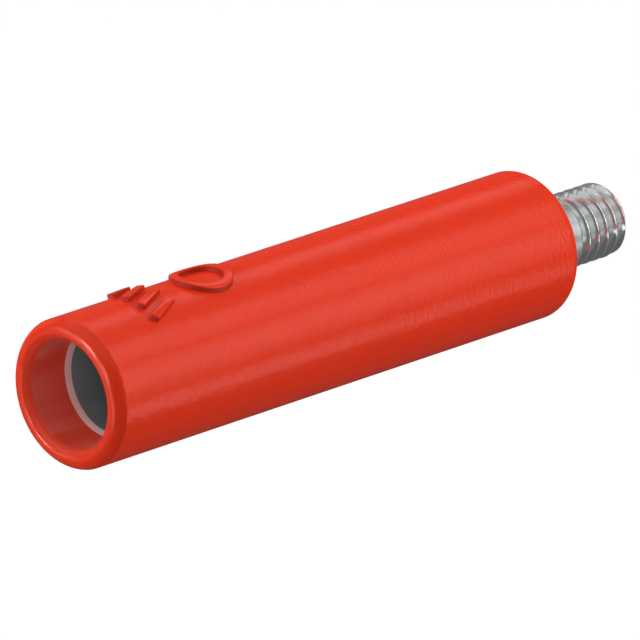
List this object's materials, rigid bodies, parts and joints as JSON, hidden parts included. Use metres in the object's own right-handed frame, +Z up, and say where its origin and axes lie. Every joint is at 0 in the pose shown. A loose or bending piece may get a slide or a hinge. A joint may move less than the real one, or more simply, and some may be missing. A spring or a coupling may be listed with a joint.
{
  "type": "banana socket",
  "caption": "Insulated socket for a 4 mm plug: a slim moulded sleeve with a rounded lip on a turned metal contact that ends in a threaded stud.",
  "frame": {"origin": "centre of the rear face, where the stud leaves the contact's shoulder", "axes": "+Y along the axis out of the stud's end, the mouth faces -Y, +Z up through the side with the raised marks"},
  "size_m": [0.006, 0.0295, 0.0062],
  "materials": {
    "red_plastic": "red moulded plastic, satin sheen with a very fine grain",
    "plated_brass": "turned brass, nickel plated, bright"
  },
  "bodies": {
    "root": {"insulating_sleeve": "red_plastic", "socket_contact": "plated_brass"}
  },
  "joints": []
}
